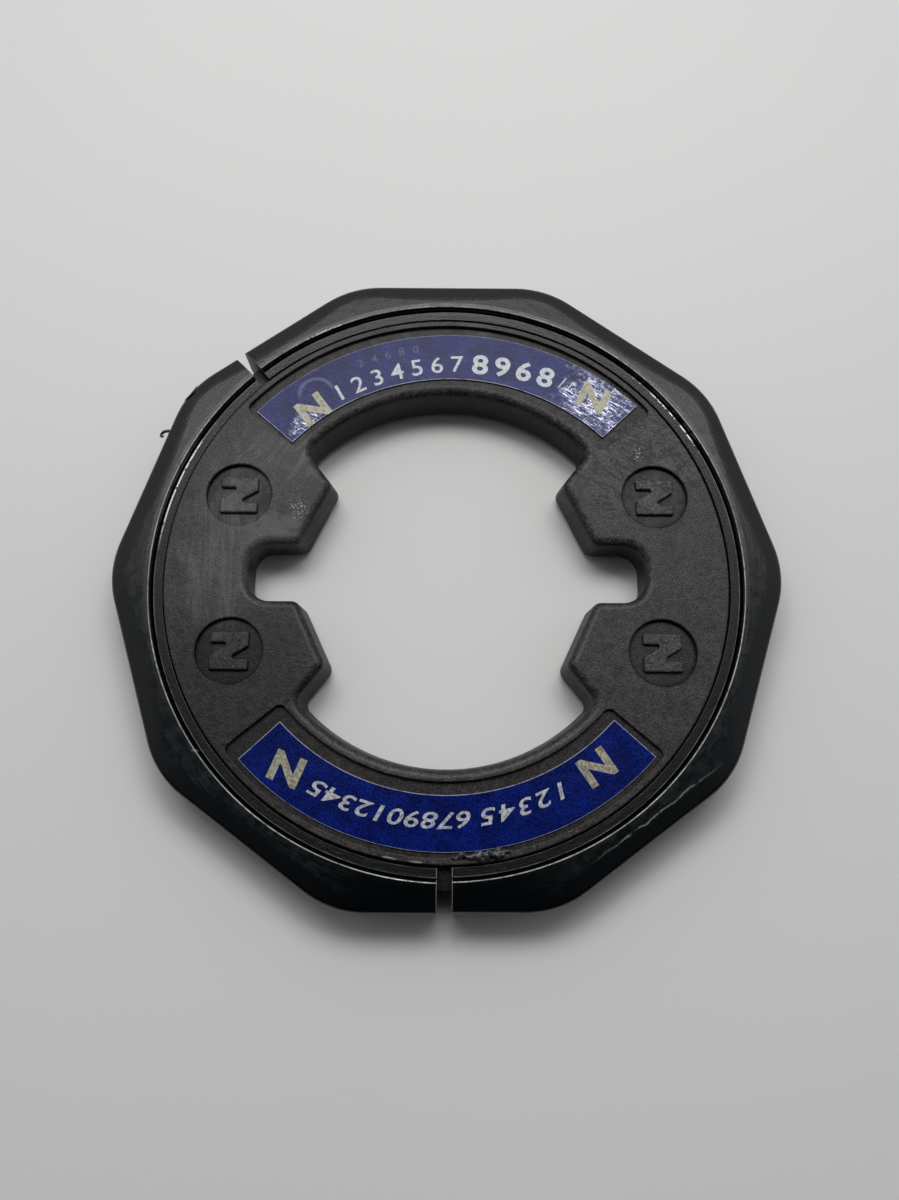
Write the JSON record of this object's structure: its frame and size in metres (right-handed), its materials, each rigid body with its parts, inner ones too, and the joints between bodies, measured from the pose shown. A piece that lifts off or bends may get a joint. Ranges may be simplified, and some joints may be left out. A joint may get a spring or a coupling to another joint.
{
  "type": "magnetic weight ring for a toy spinning top",
  "caption": "Thin ten-sided magnetic weight ring of a toy spinning top: moulded magnet core with a keyed centre opening, clamped in a split metal rim, with printed foil labels.",
  "frame": {"origin": "middle of the face that the rim stands on, on the axis of the centre opening", "axes": "+Z out of the labelled face, along the axis that the ring spins about; +X across two rim corners, through the keyways; +Y across two rim flats, towards the upper label"},
  "size_m": [0.0472, 0.0457, 0.0036],
  "materials": {
    "bonded_magnet": "plastic-bonded ferrite, brownish charcoal, matt with scuffs",
    "rim_metal": "dark blue-green-black coating, satin, worn bright on the edges",
    "label_foil": "blue printed foil sticker with silver marks"
  },
  "bodies": {
    "root": {"magnet_core": "bonded_magnet", "rim_segment_long": "rim_metal", "rim_segment_short": "rim_metal", "label_upper": "label_foil", "label_lower": "label_foil"}
  },
  "joints": []
}
